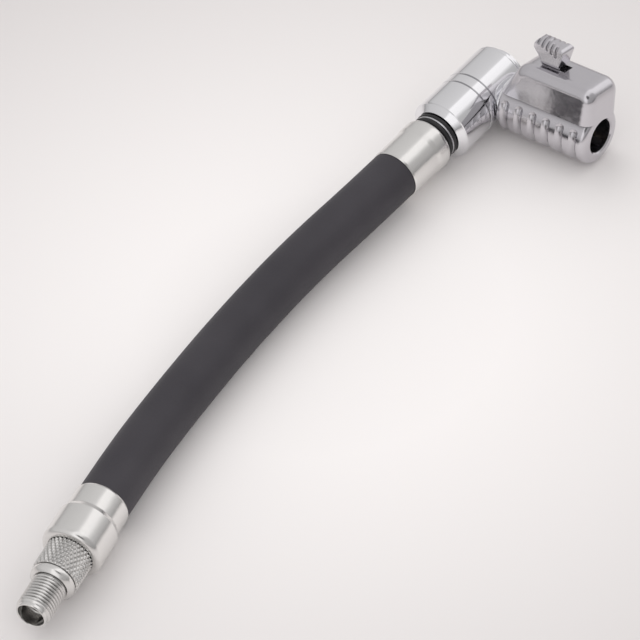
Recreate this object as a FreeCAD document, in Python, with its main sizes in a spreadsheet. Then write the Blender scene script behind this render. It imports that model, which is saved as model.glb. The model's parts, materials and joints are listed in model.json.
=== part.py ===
"""Lock-on tyre-valve chuck on a short rubber hose.

A right-angle chuck with a thumb slide sits on a round elbow. The elbow swivels on the end of a
thick rubber hose, and the hose's far end carries a male tyre-valve thread. Millimetres, +Z up.
The chuck axis runs along +X to its mouth, and the swivel axis runs along Y, with the hose
leaving towards -Y. The whole object lies on the plane z = 0.
"""
import FreeCAD, Part
import math
import os
import re

import Sketcher
from FreeCAD import Placement, Rotation, Vector

doc = FreeCAD.newDocument("LockOnValveChuck")
os.makedirs("parts", exist_ok=True)

# Driving dimensions: alias, value, what it is
SIZES = [
    # elbow, all axial places are measured along the swivel axis from the chuck axis
    ("elbow_radius", 7.6, "outside radius of the swivel elbow"),
    ("elbow_end", 7.7, "closed end of the elbow"),
    ("elbow_mouth", 18.8, "open end of the elbow, towards the hose"),
    ("elbow_mouth_radius", 6.1, "outside radius of the chamfered rim"),
    ("elbow_rim_chamfer", 1.5, "length of the rim chamfer"),
    ("elbow_end_round", 1.8, "rounding of the closed end"),
    ("end_cap_thickness", 2.4, "visible edge of the pressed end cap"),
    ("end_cap_spigot_radius", 4.8, "radius of the cap's spigot"),
    ("end_cap_spigot", 1.6, "length of the cap's spigot"),
    ("band_near", 5.4, "place of the groove nearer the chuck"),
    ("band_far", 8.4, "place of the groove nearer the hose"),
    ("band_groove", 0.55, "width of each decorative groove"),
    ("band_depth", 0.3, "depth of each decorative groove"),
    ("air_radius", 2.6, "air passage inside the elbow"),
    # swivel
    ("journal_radius", 4.4, "swivel journal of the hose stem"),
    ("running_gap", 0.05, "radial running clearance of the swivel"),
    ("journal_depth", 5.6, "inner end of the journal, from the chuck axis"),
    ("snap_ring_place", 8.0, "place of the snap ring"),
    ("snap_ring_wire", 0.45, "wire radius of the snap ring"),
    ("stem_oring_place", 12.0, "place of the inner O-ring"),
    ("stem_oring_section", 0.7, "section radius of the inner O-ring"),
    ("collar_ring_radius", 5.75, "outside radius of the outer visible O-ring"),
    ("collar_ring_section", 0.55, "section radius of the visible O-rings"),
    ("swivel_washer_thickness", 0.4, "metal washer between the visible O-rings"),
    ("seat_gap", 0.1, "gap between pieces that seat on each other"),
    # hose and its ferrules
    ("hose_radius", 6.0, "outside radius of the hose"),
    ("hose_bore", 3.0, "bore radius of the hose"),
    ("stem_bore", 1.6, "air bore through the stems"),
    ("upper_ferrule_length", 14.0, "length of the ferrule at the elbow"),
    ("upper_bulge_radius", 6.45, "radius of its shoulder"),
    ("upper_bulge_length", 4.2, "length of its shoulder"),
    ("upper_crimp_radius", 6.25, "radius where it is crimped"),
    ("lower_ferrule_length", 15.2, "length of the ferrule at the threaded end"),
    ("lower_bulge_radius", 6.95, "radius of its shoulder"),
    ("lower_bulge_length", 8.4, "length of its shoulder"),
    ("lower_crimp_radius", 6.35, "radius where it is crimped"),
    ("end_land", 0.3, "flat land left round the hole in a ferrule's turned-in end"),
    ("crimp_slope", 1.2, "length of the slope between shoulder and crimp"),
    ("hose_insertion", 10.9, "length of hose inside the lower ferrule"),
    # threaded end
    ("knurl_radius", 5.3, "radius of the knurled grip"),
    ("knurl_length", 7.2, "length of the knurled grip outside the ferrule"),
    ("grip_collar_radius", 5.0, "plain collar in front of the knurl"),
    ("grip_collar_length", 2.0, "length of the plain collar"),
    ("thread_radius", 3.875, "tyre-valve thread, 7.75 outside diameter"),
    ("thread_length", 8.8, "length of the thread"),
    ("thread_tip", 0.8, "plain tip of the thread"),
    ("thread_tip_radius", 3.45, "radius of the plain tip"),
    ("nipple_mouth_radius", 3.0, "bore radius at the threaded end's mouth"),
    ("nipple_mouth_depth", 6.5, "depth of the mouth bore"),
    # neck between elbow and chuck
    ("spot_face", 7.0, "distance of the elbow's spot face from its axis"),
    ("chuck_rear", 7.9, "rear face of the chuck, from the swivel axis"),
    ("neck_flange_radius", 5.9, "flange of the neck stub"),
    ("neck_thread_radius", 3.4, "neck thread in the elbow"),
    ("neck_thread_length", 4.2, "length of the neck thread in the elbow"),
    ("neck_plug_length", 9.3, "length of the neck stub in the chuck"),
    ("neck_ring_section", 0.45, "section radius of the neck O-ring"),
    # chuck
    ("chuck_length", 24.7, "length of the chuck, rear face to mouth"),
    ("barrel_radius", 7.05, "radius of the chuck's round lower part"),
    ("barrel_round", 1.7, "rounding of the barrel's mouth end"),
    ("barrel_rear_round", 0.9, "rounding of the barrel's rear end"),
    ("chuck_turn", 14.0, "angle past upright at which the neck thread stops, degrees"),
    ("block_height", 13.3, "top of the block above the chuck axis"),
    ("block_foot", 4.6, "height of the block's lower edge, where it overhangs the barrel"),
    ("block_half_width", 6.3, "half width of the block at its foot"),
    ("block_draft", 3.5, "draft of the block's sides, degrees"),
    ("block_edge_round", 2.6, "rounding of the block's top and front edges"),
    ("block_front_round", 3.4, "rounding of the block's top front corner"),
    ("block_rear_round", 4.4, "rounding of the block's top rear corner"),
    ("block_rear_run", 4.2, "run of the slanted rear"),
    ("mouth_radius", 4.1, "bore that takes the valve stem"),
    ("mouth_chamfer", 0.35, "chamfer of the mouth"),
    ("relief_front", 4.7, "distance from the mouth to the turned relief behind which the jaw works"),
    ("relief_length", 4.5, "length of the relief"),
    ("relief_depth", 0.4, "depth of the relief"),
    ("seal_depth", 10.3, "distance from the mouth to the valve seal"),
    ("chamber_radius", 5.2, "radius of the rear chamber"),
    ("scallop_count", 6, "finger-grip scallops"),
    ("scallop_pitch", 3.8, "pitch of the scallops"),
    ("scallop_first", 3.4, "distance from the mouth to the first scallop"),
    ("scallop_tool", 1.4, "section radius of a scallop"),
    ("scallop_depth", 0.5, "depth of a scallop"),
    ("scallop_rise", 18.5, "angle above the axis at which a scallop's round end sits"),
    # seal and core opener
    ("seal_thickness", 2.8, "valve seal"),
    ("seal_bore", 2.3, "bore radius of the valve seal"),
    ("washer_thickness", 0.6, "backing washer"),
    ("opener_disc", 1.4, "perforated disc of the core opener"),
    ("opener_pin", 0.9, "radius of the core opener's pin"),
    ("opener_recess", 0.1, "distance of the pin's tip behind the seal's face"),
    ("opener_vent", 0.7, "radius of the disc's vents"),
    ("opener_vent_circle", 3.0, "radius of the circle of vents"),
    # lock
    ("lock_travel", 1.3, "travel of the thumb slide"),
    ("ramp_angle", 21.8, "angle of the wedge's ramp, degrees"),
    ("slide_gap", 0.2, "clearance round the sliding pieces"),
    ("channel_front", 3.4, "distance from the mouth to the channel's front wall"),
    ("channel_rear", 18.3, "distance from the mouth to the channel's rear wall"),
    ("channel_floor", 6.4, "height of the channel's floor"),
    ("channel_roof", 11.4, "height of the channel's roof"),
    ("channel_half_width", 3.2, "half width of the channel"),
    ("slot_half_width", 1.65, "half width of the slot in the block's top"),
    ("cover_thickness", 0.4, "slot cover plate"),
    ("wedge_length", 11.3, "length of the lock wedge"),
    ("wedge_nose", 6.5, "distance from the mouth to the wedge's nose"),
    ("wedge_ramp_foot", 7.6, "height of the ramp's low end"),
    ("wedge_ramp_start", 11.6, "distance from the mouth to the ramp's low end"),
    ("jaw_half_width", 2.6, "half width of the jaw's stem"),
    ("jaw_stem_front", 5.2, "distance from the mouth to the jaw stem's front"),
    ("jaw_stem_length", 3.6, "length of the jaw stem"),
    ("jaw_shoulder", 1.35, "overhang of the jaw's head at each end"),
    ("jaw_head_foot", 7.35, "height of the jaw head's underside"),
    ("jaw_clearance", 0.1, "retraction of the jaw behind the mouth bore"),
    ("ramp_gap", 0.05, "gap between wedge and jaw"),
    ("spring_radius", 0.55, "outside radius of the jaw springs"),
    ("spring_wall", 0.2, "wire of the jaw springs"),
    ("spring_pocket", 1.3, "depth of the spring pockets"),
    # thumb slide
    ("neck_front", 12.05, "distance from the mouth to the slide neck's front"),
    ("neck_length", 4.9, "length of the slide's neck"),
    ("neck_side_gap", 0.15, "gap between the neck and the slot's sides"),
    ("knob_front", 11.1, "distance from the mouth to the knob's front"),
    ("knob_length", 8.0, "length of the knob"),
    ("knob_foot", 13.9, "height of the knob's underside"),
    ("knob_top", 19.6, "height of the knob's top at its rear"),
    ("knob_top_drop", 0.8, "fall of the knob's top towards the front"),
    ("knob_half_width", 2.35, "half width of the knob"),
    ("knob_crown", 2.7, "radius of the knob's arched top"),
    ("knob_nose", 17.9, "height of the knob's front end"),
    ("knob_tail", 17.1, "height of the knob's rear end"),
    ("knob_tail_foot", 14.7, "height at which the underside starts to slant to the rear end"),
    ("knob_end_round", 1.6, "rounding of the knob's ends"),
    ("rib_groove", 0.55, "width of the grooves between the ribs"),
    ("rib_depth", 0.4, "depth of the grooves"),
    ("rib_pitch", 1.25, "pitch of the ribs"),
    ("rib_foot", 16.1, "height at which the front groove ends"),
    ("rib_foot_rise", 0.45, "rise of each following groove's end"),
    ("rib_first", 1.7, "distance from the knob's front to the first groove"),
    ("rib_count", 5, "grooves across the knob"),
    ("rivet_radius", 0.8, "radius of the slide rivet"),
    ("rivet_head", 1.3, "radius of the rivet's head"),
    ("rivet_bite", 1.4, "length of the rivet inside the knob"),
]

sheet = doc.addObject("Spreadsheet::Sheet", "Sizes")
for row, (alias, value, note) in enumerate(SIZES, start=1):
    sheet.set(f"A{row}", note)
    sheet.set(f"B{row}", str(value))
    sheet.setAlias(f"B{row}", alias)
doc.recompute()

ALIASES = {alias for alias, value, note in SIZES}
GEOMETRY_TOLERANCE = 1e-4


def bound(text):
    """The expression with every alias written as a cell of the sheet."""
    return re.sub(r"[a-z_]+", lambda m: f"Sizes.{m[0]}" if m[0] in ALIASES else m[0], str(text))


def size(text):
    """The present value of an expression, as a plain number."""
    found = sheet.evalExpression(bound(text))
    return float(getattr(found, "Value", found))


def new_body(label, placement=None):
    body = doc.addObject("PartDesign::Body", label)
    body.Label = label
    if placement is not None:
        body.Placement = placement
    return body


def plane_of(body, role):
    return next(f for f in body.Origin.OriginFeatures if f.Role == role)


def new_sketch(body, role, offset="0"):
    """A sketch on one of the body's own planes, offset along its normal."""
    sketch = body.newObject("Sketcher::SketchObject", f"{body.Label}_sketch")
    sketch.AttachmentSupport = [(plane_of(body, role), "")]
    sketch.MapMode = "FlatFace"
    sketch.setExpression("AttachmentOffset.Base.z", bound(offset))
    return sketch


def pin_point(sketch, geometry, end, x, y):
    """Holds one end of a geometry at the two expressions."""
    for kind, text in (("DistanceX", x), ("DistanceY", y)):
        index = sketch.addConstraint(Sketcher.Constraint(kind, -1, 1, geometry, end, size(text)))
        sketch.setExpression(f"Constraints[{index}]", bound(text))


def arc_between(start, end, radius):
    """The arc under a half circle from start to end, its centre on the left when radius > 0."""
    chord = end - start
    middle = (start + end) * 0.5
    rise = math.sqrt(radius * radius - chord.Length ** 2 / 4)
    left = Vector(-chord.y, chord.x, 0).normalize()
    centre = middle + left * math.copysign(rise, radius)
    circle = Part.Circle(centre, Vector(0, 0, 1), abs(radius))
    first, last = (start, end) if radius > 0 else (end, start)
    return Part.ArcOfCircle(circle, circle.parameter(first), circle.parameter(last))


def draw_outline(sketch, points):
    """A closed outline. A point is (x, y) after a line, or (x, y, radius) after an arc that
    reaches it, with the arc's centre on the left of the way for a positive radius."""
    spots = [Vector(size(p[0]), size(p[1]), 0) for p in points]
    heads = []
    tails = []
    for i, point in enumerate(points):
        start, end = spots[i - 1], spots[i]
        if len(point) == 3:
            radius = size(point[2])
            index = sketch.addGeometry(arc_between(start, end, radius))
            hold = sketch.addConstraint(Sketcher.Constraint("Radius", index, abs(radius)))
            sketch.setExpression(f"Constraints[{hold}]", bound(f"abs({point[2]})"))
            ends = (1, 2) if radius > 0 else (2, 1)
        else:
            index = sketch.addGeometry(Part.LineSegment(start, end))
            ends = (1, 2)
        heads.append((index, ends[0]))
        tails.append((index, ends[1]))
    for i, point in enumerate(points):
        following = heads[(i + 1) % len(points)]
        sketch.addConstraint(Sketcher.Constraint("Coincident", *tails[i], *following))
        pin_point(sketch, *tails[i], point[0], point[1])


def draw_circle(sketch, x, y, radius):
    spot = Vector(size(x), size(y), 0)
    index = sketch.addGeometry(Part.Circle(spot, Vector(0, 0, 1), size(radius)))
    pin_point(sketch, index, 3, x, y)
    hold = sketch.addConstraint(Sketcher.Constraint("Radius", index, size(radius)))
    sketch.setExpression(f"Constraints[{hold}]", bound(radius))


def turned(body, points, axis="X", cut=False):
    """A full revolution about X or Y. Points are (axial place, radius) with an optional arc."""
    sketch = new_sketch(body, "XY_Plane")
    if axis == "Y":
        points = [(p[1], p[0]) + ((f"-({p[2]})",) if len(p) == 3 else ()) for p in points]
    draw_outline(sketch, points)
    feature = body.newObject("PartDesign::Groove" if cut else "PartDesign::Revolution", f"{body.Label}_turn")
    feature.Profile = sketch
    feature.ReferenceAxis = (sketch, ["H_Axis" if axis == "X" else "V_Axis"])
    feature.Angle = 360
    return feature


def extruded(body, sketch, length, cut=False, both_ways=False, reverse=False):
    feature = body.newObject("PartDesign::Pocket" if cut else "PartDesign::Pad", f"{body.Label}_extrude")
    feature.Profile = sketch
    feature.setExpression("Length", bound(length))
    if both_ways:
        feature.SideType = "Symmetric"
    feature.Reversed = reverse
    return feature


def side_prism(body, points, half_width, cut=False):
    """A side outline, given as (x, height), extruded equally to both sides."""
    sketch = new_sketch(body, "XZ_Plane")
    draw_outline(sketch, points)
    return extruded(body, sketch, f"2 * ({half_width})", cut=cut, both_ways=True)


def box_points(x_low, x_high, y_low, y_high):
    return [(x_low, y_low), (x_high, y_low), (x_high, y_high), (x_low, y_high)]


def upright_round(body, x, y, radius, bottom, length, cut=False):
    """A vertical round boss or hole that starts at the height bottom and rises."""
    sketch = new_sketch(body, "XY_Plane", bottom)
    draw_circle(sketch, x, y, radius)
    return extruded(body, sketch, length, cut=cut, reverse=cut)


def ring_profile(place, centre_radius, section):
    """The section of an O-ring as a regular octagon, flat on its four sides."""
    short = f"({section} * tan(22.5deg))"
    corners = []
    for along, out in ((1, -1), (1, 1), (-1, 1), (-1, -1)):
        flat_first = [(f"{along} * {section}", f"{out} * {short}"), (f"{along} * {short}", f"{out} * {section}")]
        corners += flat_first if along == out else flat_first[::-1]
    return [(f"{place} + ({x})", f"{centre_radius} + ({r})") for x, r in corners]


# Frames of the three axes
swivel_frame = Placement(Vector(0, 0, size("elbow_radius")), Rotation())
chuck_frame = Placement(Vector(0, 0, size("elbow_radius")), Rotation(Vector(1, 0, 0), -size("chuck_turn")))

# Route of the hose, chosen by hand: it leaves the upper ferrule level, sags to the ground and
# swings gently to the side, and ends level in the lower ferrule
HOSE_ROUTE = [
    Vector(0.0, -24.0, 7.6),
    Vector(0.0, -44.6, 7.6),
    Vector(-1.6, -68.0, 6.6),
    Vector(-0.7, -93.0, 6.25),
    Vector(2.0, -118.0, 6.3),
    Vector(5.85, -141.0, 6.95),
    Vector(10.64, -161.4, 6.95),
]
ARC_SHARE = 0.45

last_run = (HOSE_ROUTE[-1] - HOSE_ROUTE[-2]).normalize()
lower_turn = math.degrees(math.atan2(last_run.y, last_run.x))
lower_mouth = HOSE_ROUTE[-1] - last_run * size("hose_insertion")
lower_frame = Placement(lower_mouth, Rotation(Vector(0, 0, 1), lower_turn))

MOUTH = "(chuck_rear + chuck_length)"


def from_mouth(distance):
    return f"{MOUTH} - ({distance})"


def ferrule_outline(length, bulge, bulge_length, crimp, bore, neck_hole):
    """From the hose side at 0 to the turned-in end at length."""
    slope_end = f"{length} - {bulge_length}"
    turn_in = f"({bulge} - {neck_hole} - end_land)"
    return [
        ("0", bore),
        (f"{length} - 1.6", bore),
        (f"{length} - 1.6", neck_hole),
        (length, neck_hole),
        (length, f"{neck_hole} + end_land"),
        (f"{length} - {turn_in}", bulge, turn_in),
        (slope_end, bulge),
        (f"{slope_end} - crimp_slope", crimp),
        ("0.4", crimp),
        ("0", f"{crimp} - 0.2"),
    ]


# Threaded end
def make_threaded_nipple():
    body = new_body("threaded_nipple", lower_frame)
    knurl_start = "(lower_ferrule_length - 1.4)"
    knurl_end = "(lower_ferrule_length + knurl_length)"
    collar_end = "(lower_ferrule_length + knurl_length + grip_collar_length)"
    tip = "(lower_ferrule_length + knurl_length + grip_collar_length + thread_length)"
    turned(body, [
        ("1", "stem_bore"),
        (f"{tip} - nipple_mouth_depth", "stem_bore"),
        (f"{tip} - nipple_mouth_depth", "nipple_mouth_radius - 0.4"),
        (f"{tip} - 0.5 * nipple_mouth_depth", "nipple_mouth_radius - 0.4"),
        (f"{tip} - 0.5 * nipple_mouth_depth", "nipple_mouth_radius"),
        (tip, "nipple_mouth_radius"),
        (tip, "thread_tip_radius - 0.1"),
        (f"{tip} - 0.1", "thread_tip_radius"),
        (f"{tip} - thread_tip", "thread_tip_radius"),
        (f"{tip} - thread_tip - 0.4", "thread_radius"),
        (f"{collar_end} + 0.5", "thread_radius"),
        (f"{collar_end} + 0.5", "thread_radius - 0.35"),
        (collar_end, "thread_radius - 0.35"),
        (collar_end, "thread_radius + 0.2"),
        (f"{collar_end} - 0.7", "grip_collar_radius"),
        (f"{knurl_end} + 0.35", "grip_collar_radius"),
        (f"{knurl_end} + 0.2", "grip_collar_radius - 0.3"),
        (knurl_end, "grip_collar_radius - 0.3"),
        (knurl_end, "knurl_radius - 0.3"),
        (f"{knurl_end} - 0.3", "knurl_radius"),
        (f"{knurl_start} + 0.2", "knurl_radius"),
        (knurl_start, "knurl_radius - 0.2"),
        (knurl_start, "hose_bore"),
        ("1.8", "hose_bore"),
        ("1", "hose_bore - 0.5"),
    ])
    return body


def make_lower_ferrule():
    body = new_body("lower_ferrule", lower_frame)
    turned(body, ferrule_outline("lower_ferrule_length", "lower_bulge_radius", "lower_bulge_length",
                                 "lower_crimp_radius", "hose_radius", "knurl_radius"))
    return body


# Upper end of the hose, along the swivel axis
UPPER_TOP = "(-elbow_mouth - 4 * collar_ring_section - swivel_washer_thickness - 3 * seat_gap)"


def make_upper_ferrule():
    body = new_body("upper_ferrule", swivel_frame)
    outline = ferrule_outline("upper_ferrule_length", "upper_bulge_radius", "upper_bulge_length",
                              "upper_crimp_radius", "hose_radius", "journal_radius")
    shifted = [(f"{UPPER_TOP} - upper_ferrule_length + ({p[0]})",) + tuple(p[1:]) for p in outline]
    turned(body, shifted, axis="Y")
    return body


def make_swivel_stem():
    body = new_body("swivel_stem", swivel_frame)
    hose_end = f"({UPPER_TOP} - upper_ferrule_length)"
    snap = "(-snap_ring_place)"
    seal = "(-stem_oring_place)"
    turned(body, [
        (f"{hose_end} + 1", "stem_bore"),
        ("-journal_depth", "stem_bore"),
        ("-journal_depth", "journal_radius - 0.4"),
        ("-journal_depth - 0.4", "journal_radius"),
        (f"{snap} + 1.2 * snap_ring_wire", "journal_radius"),
        (f"{snap} + 1.2 * snap_ring_wire", "journal_radius - 1.2 * snap_ring_wire"),
        (f"{snap} - 1.2 * snap_ring_wire", "journal_radius - 1.2 * snap_ring_wire"),
        (f"{snap} - 1.2 * snap_ring_wire", "journal_radius"),
        (f"{seal} + 1.2 * stem_oring_section", "journal_radius"),
        (f"{seal} + 1.2 * stem_oring_section", "journal_radius - 2 * stem_oring_section"),
        (f"{seal} - 1.2 * stem_oring_section", "journal_radius - 2 * stem_oring_section"),
        (f"{seal} - 1.2 * stem_oring_section", "journal_radius"),
        (f"{UPPER_TOP} - 1.6", "journal_radius"),
        (f"{UPPER_TOP} - 1.6", "hose_bore"),
        (f"{hose_end} + 1.8", "hose_bore"),
        (f"{hose_end} + 1", "hose_bore - 0.5"),
    ], axis="Y")
    return body


def make_ring(label, place, centre_radius, section, frame=swivel_frame, axis="Y"):
    body = new_body(label, frame)
    turned(body, ring_profile(place, centre_radius, section), axis=axis)
    return body


OUTER_RING = "(-elbow_mouth - seat_gap - collar_ring_section)"
WASHER_FACE = "(-elbow_mouth - 2 * seat_gap - 2 * collar_ring_section)"
INNER_RING = f"({WASHER_FACE} - swivel_washer_thickness - collar_ring_section)"


def make_swivel_washer():
    body = new_body("swivel_washer", swivel_frame)
    back = f"{WASHER_FACE} - swivel_washer_thickness"
    turned(body, [
        (WASHER_FACE, "journal_radius"),
        (WASHER_FACE, "collar_ring_radius - 0.15"),
        (back, "collar_ring_radius - 0.15"),
        (back, "journal_radius"),
    ], axis="Y")
    return body


# Elbow
def groove_points(place, radius, width, depth):
    """A trapezoid groove met while going towards smaller places."""
    return [
        (f"{place} + 0.5 * {width}", radius),
        (f"{place} + 0.25 * {width}", f"{radius} - {depth}"),
        (f"{place} - 0.25 * {width}", f"{radius} - {depth}"),
        (f"{place} - 0.5 * {width}", radius),
    ]


def make_elbow_body():
    body = new_body("elbow_body", swivel_frame)
    seam = "(elbow_end - end_cap_thickness)"
    bore = "(journal_radius + running_gap)"
    snap = "(-snap_ring_place)"
    inner_end = "(-journal_depth + seat_gap)"
    turned(body, [
        ("-elbow_mouth", bore),
        (f"{snap} - 1.2 * snap_ring_wire", bore),
        (f"{snap} - 1.2 * snap_ring_wire", f"{bore} + 1.2 * snap_ring_wire"),
        (f"{snap} + 1.2 * snap_ring_wire", f"{bore} + 1.2 * snap_ring_wire"),
        (f"{snap} + 1.2 * snap_ring_wire", bore),
        (inner_end, bore),
        (inner_end, "air_radius"),
        (f"{seam} - end_cap_spigot", "air_radius"),
        (f"{seam} - end_cap_spigot", "end_cap_spigot_radius"),
        (seam, "end_cap_spigot_radius"),
        (seam, "elbow_radius - 0.3"),
        (f"{seam} - 0.25", "elbow_radius"),
    ] + groove_points("(-band_near)", "elbow_radius", "band_groove", "band_depth")
      + groove_points("(-band_far)", "elbow_radius", "band_groove", "band_depth") + [
        ("-elbow_mouth + elbow_rim_chamfer", "elbow_radius"),
        ("-elbow_mouth + elbow_rim_chamfer - 0.15", "elbow_radius - 0.25"),
        ("-elbow_mouth + 0.2", "elbow_mouth_radius"),
        ("-elbow_mouth", "elbow_mouth_radius - 0.2"),
    ], axis="Y")
    hole_end = "(spot_face - neck_thread_length - 0.3)"
    ring_seat = "(spot_face - 2 * neck_ring_section)"
    turned(body, [
        ("0", "0"),
        ("elbow_radius + 1", "0"),
        ("elbow_radius + 1", "neck_flange_radius + 0.2"),
        ("spot_face", "neck_flange_radius + 0.2"),
        ("spot_face", "neck_thread_radius + 2 * neck_ring_section"),
        (ring_seat, "neck_thread_radius + 2 * neck_ring_section"),
        (ring_seat, "neck_thread_radius"),
        (hole_end, "neck_thread_radius"),
        (hole_end, "stem_bore"),
        ("0", "stem_bore"),
    ], cut=True)
    return body


def make_elbow_end_cap():
    body = new_body("elbow_end_cap", swivel_frame)
    seam = "(elbow_end - end_cap_thickness)"
    turned(body, [
        (f"{seam} - end_cap_spigot", "0"),
        (f"{seam} - end_cap_spigot", "end_cap_spigot_radius - 0.3"),
        (f"{seam} - end_cap_spigot + 0.3", "end_cap_spigot_radius"),
        (seam, "end_cap_spigot_radius"),
        (seam, "elbow_radius - 0.3"),
        (f"{seam} + 0.2", "elbow_radius - 0.1"),
        ("elbow_end - elbow_end_round", "elbow_radius - 0.1"),
        ("elbow_end", "elbow_radius - 0.1 - elbow_end_round", "elbow_end_round"),
        ("elbow_end", "0"),
    ], axis="Y")
    turned(body, box_points("spot_face", "elbow_radius + 1", "0", "neck_flange_radius + 0.2"), cut=True)
    return body


# Neck
def make_neck_stub():
    body = new_body("neck_stub", chuck_frame)
    plug_radius = "(chamber_radius - seat_gap)"
    front = "(chuck_rear + neck_plug_length)"
    turned(body, [
        ("spot_face - neck_thread_length", "stem_bore"),
        (front, "stem_bore"),
        (front, f"{plug_radius} - 0.3"),
        (f"{front} - 0.3", plug_radius),
        ("chuck_rear", plug_radius),
        ("chuck_rear", "neck_flange_radius"),
        ("spot_face + 0.3", "neck_flange_radius"),
        ("spot_face", "neck_flange_radius - 0.3"),
        ("spot_face", "neck_thread_radius"),
        ("spot_face - neck_thread_length + 0.3", "neck_thread_radius"),
        ("spot_face - neck_thread_length", "neck_thread_radius - 0.3"),
    ])
    return body


# Chuck housing
def add_block(body):
    """Drafted block that overhangs the barrel, with a slanted rear and rounded edges."""
    top_half = "(block_half_width - (block_height - block_foot) * tan(block_draft * 1deg))"
    section = new_sketch(body, "YZ_Plane", "chuck_rear")
    draw_outline(section, [
        ("-block_half_width", "block_foot"),
        ("block_half_width", "block_foot"),
        (top_half, "block_height"),
        (f"-{top_half}", "block_height"),
    ])
    extruded(body, section, "chuck_length")
    rear_top = "(chuck_rear + block_rear_run)"
    side_prism(body, [
        ("chuck_rear - 1", "block_foot - 1"),
        ("chuck_rear", "block_foot - 1"),
        ("chuck_rear", "block_foot + 0.5"),
        (rear_top, "block_height"),
        (rear_top, "block_height + 1"),
        ("chuck_rear - 1", "block_height + 1"),
    ], "block_half_width + 1", cut=True)
    doc.recompute()
    corners = {
        "block_rear_round": (size(rear_top), size("block_height")),
        "block_front_round": (size(MOUTH), size("block_height")),
    }
    for radius, (x, z) in corners.items():
        found = [
            f"Edge{i}"
            for i, edge in enumerate(body.Tip.Shape.Edges, start=1)
            if all(abs(v.X - x) < GEOMETRY_TOLERANCE and abs(v.Z - z) < GEOMETRY_TOLERANCE
                   for v in edge.Vertexes)
        ]
        round_edges(body, found, radius)
    long_edges = [
        f"Edge{i}"
        for i, edge in enumerate(body.Tip.Shape.Edges, start=1)
        if is_block_outline_edge(edge)
    ]
    round_edges(body, long_edges, "block_edge_round")


def is_block_outline_edge(edge):
    """True for the edges where a drafted side meets the front, top or slanted rear."""
    draft = math.tan(math.radians(size("block_draft")))
    middle = edge.valueAt((edge.FirstParameter + edge.LastParameter) / 2)
    side = size("block_half_width") - (middle.z - size("block_foot")) * draft
    on_side = abs(abs(middle.y) - side) < 1e-3
    above_foot = middle.z > size("block_foot") + 0.6
    return on_side and above_foot


def round_edges(body, names, radius):
    base = body.Tip
    fillet = body.newObject("PartDesign::Fillet", f"{body.Label}_round")
    fillet.Base = (base, names)
    fillet.setExpression("Radius", bound(radius))
    body.Tip = fillet
    doc.recompute()
    return fillet


def add_barrel(body):
    """The barrel, whose round face is divided between the scallops so that each meshes alone."""
    between = [
        (from_mouth(f"scallop_first + {i + 0.5} * scallop_pitch"), "barrel_radius")
        for i in range(round(size("scallop_count")) - 1)
    ]
    turned(body, [
        ("chuck_rear", "0"),
        (MOUTH, "0"),
        (MOUTH, "barrel_radius - barrel_round"),
        (f"{MOUTH} - barrel_round", "barrel_radius", "barrel_round"),
    ] + between + [
        ("chuck_rear + barrel_rear_round", "barrel_radius"),
        ("chuck_rear", "barrel_radius - barrel_rear_round", "barrel_rear_round"),
    ])


def add_scallops(body):
    """Round-bottomed finger grips that wrap under the barrel, each with rounded ends."""
    path_radius = "(barrel_radius + scallop_tool - scallop_depth)"
    first = from_mouth("scallop_first")
    sketch = new_sketch(body, "XZ_Plane")
    for i in range(round(size("scallop_count"))):
        place = from_mouth(f"scallop_first + {i} * scallop_pitch")
        draw_circle(sketch, place, f"-{path_radius}", "scallop_tool")
    rings = body.newObject("PartDesign::Groove", "scallop_rings")
    rings.Profile = sketch
    rings.ReferenceAxis = (sketch, ["H_Axis"])
    rings.setExpression("Angle", bound("180 + 2 * scallop_rise"))
    rings.Midplane = True
    ends = []
    for side in (-1, 1):
        ball = body.newObject("PartDesign::SubtractiveSphere", "scallop_end")
        ball.AttachmentSupport = [(plane_of(body, "XY_Plane"), "")]
        ball.MapMode = "FlatFace"
        ball.setExpression("Radius", bound("scallop_tool"))
        ball.setExpression("AttachmentOffset.Base.x", bound(first))
        ball.setExpression("AttachmentOffset.Base.y", bound(f"{side} * {path_radius} * cos(scallop_rise * 1deg)"))
        ball.setExpression("AttachmentOffset.Base.z", bound(f"{path_radius} * sin(scallop_rise * 1deg)"))
        ends.append(ball)
    row_of = body.newObject("PartDesign::LinearPattern", "scallop_row")
    row_of.Originals = ends
    row_of.Direction = (sketch, ["H_Axis"])
    row_of.Reversed = True
    row_of.setExpression("Occurrences", bound("scallop_count"))
    row_of.setExpression("Length", bound("(scallop_count - 1) * scallop_pitch"))
    body.Tip = row_of


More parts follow.
